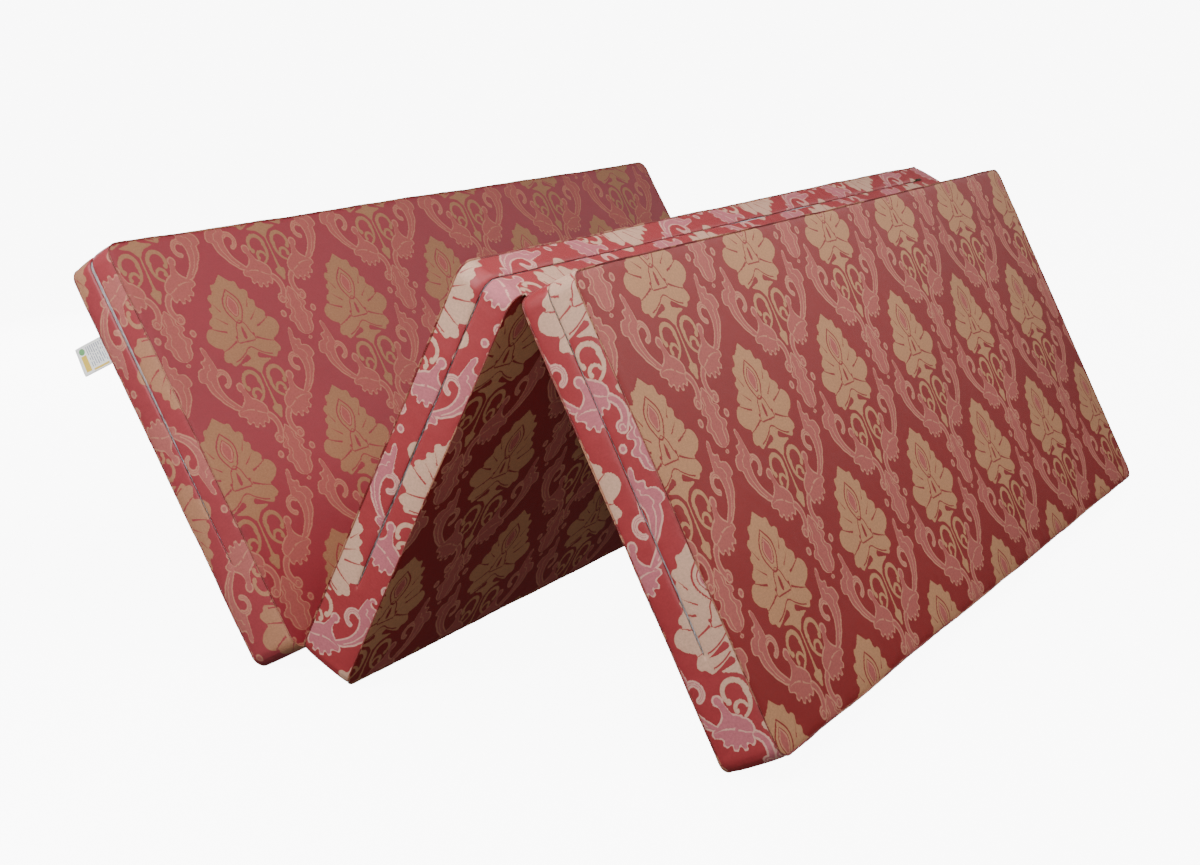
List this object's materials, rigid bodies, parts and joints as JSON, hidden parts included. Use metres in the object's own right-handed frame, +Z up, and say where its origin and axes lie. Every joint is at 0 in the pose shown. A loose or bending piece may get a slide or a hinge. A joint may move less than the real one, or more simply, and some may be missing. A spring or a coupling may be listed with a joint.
{
  "type": "tri-fold futon mattress",
  "caption": "Firm tri-fold mattress in zipped damask covers, standing on edge in a zigzag; it opens flat or stacks.",
  "frame": {"origin": "on the floor, in the middle of the object's bounding box", "axes": "+Z up, Y along the fold lines with -Y towards the zipped short ends, +X from the left slab to the right one"},
  "size_m": [1.1846, 1.6, 0.6309],
  "materials": {
    "core_fibre": "matt pressed fibre",
    "damask": "satin damask",
    "border_damask": "satin damask",
    "web_damask": "satin damask",
    "zip_tape": "woven tape",
    "zip_coil": "nylon coil",
    "zip_metal": "dark antique",
    "label": "woven label"
  },
  "bodies": {
    "right_slab": {"right_core": "core_fibre", "right_top_face": "damask", "right_bottom_face": "damask", "right_border": "border_damask", "right_zip_tape_upper": "zip_tape", "right_zip_tape_lower": "zip_tape", "right_zip_coil_upper": "zip_coil", "right_zip_coil_lower": "zip_coil", "right_zip_stop": "zip_metal", "right_fold_web": "web_damask"},
    "middle_slab": {"middle_core": "core_fibre", "middle_top_face": "damask", "middle_bottom_face": "damask", "middle_border": "border_damask", "middle_zip_tape_upper": "zip_tape", "middle_zip_tape_lower": "zip_tape", "middle_zip_coil_upper": "zip_coil", "middle_zip_coil_lower": "zip_coil", "middle_zip_stop": "zip_metal", "left_fold_web": "web_damask"},
    "left_slab": {"left_core": "core_fibre", "left_top_face": "damask", "left_bottom_face": "damask", "left_border": "border_damask", "left_zip_tape_upper": "zip_tape", "left_zip_tape_lower": "zip_tape", "left_zip_coil_upper": "zip_coil", "left_zip_coil_lower": "zip_coil", "left_zip_stop": "zip_metal", "care_label": "label"},
    "right_slider": {"right_zip_slider": "zip_metal"},
    "right_pull": {"right_zip_pull": "zip_metal"},
    "middle_slider": {"middle_zip_slider": "zip_metal"},
    "middle_pull": {"middle_zip_pull": "zip_metal"},
    "left_slider": {"left_zip_slider": "zip_metal"},
    "left_pull": {"left_zip_pull": "zip_metal"}
  },
  "joints": [
    {"name": "right_fold", "type": "hinge", "parent": "right_slab", "child": "middle_slab", "pos_m": [0.21074, 0, 0.59261], "axis": [0, 1, 0], "range_deg": [-54.3, 125.64]},
    {"name": "left_fold", "type": "hinge", "parent": "middle_slab", "child": "left_slab", "pos_m": [-0.18082, 0, 0.04185], "axis": [0, -1, 0], "range_deg": [-57.45, 122.45]},
    {"name": "right_zip_slide", "type": "slide", "parent": "right_slab", "child": "right_slider", "axis": [0, -1, 0], "range_m": [0, 1.455]},
    {"name": "right_pull_hinge", "type": "hinge", "parent": "right_slider", "child": "right_pull", "pos_m": [0.25331, 0.687, 0.61146], "axis": [0.8923, 0, 0.4514], "range_deg": [0, 180]},
    {"name": "middle_zip_slide", "type": "slide", "parent": "middle_slab", "child": "middle_slider", "axis": [0, -1, 0], "range_m": [0, 1.455]},
    {"name": "middle_pull_hinge", "type": "hinge", "parent": "middle_slider", "child": "middle_pull", "pos_m": [0.16838, 0.687, 0.61195], "axis": [0.887, 0, -0.4617], "range_deg": [0, 180]},
    {"name": "left_zip_slide", "type": "slide", "parent": "left_slab", "child": "left_slider", "axis": [0, -1, 0], "range_m": [0, 1.455]},
    {"name": "left_pull_hinge", "type": "hinge", "parent": "left_slider", "child": "left_pull", "pos_m": [-0.55456, 0.687, 0.59618], "axis": [0.866, 0, 0.5], "range_deg": [0, 180]}
  ]
}
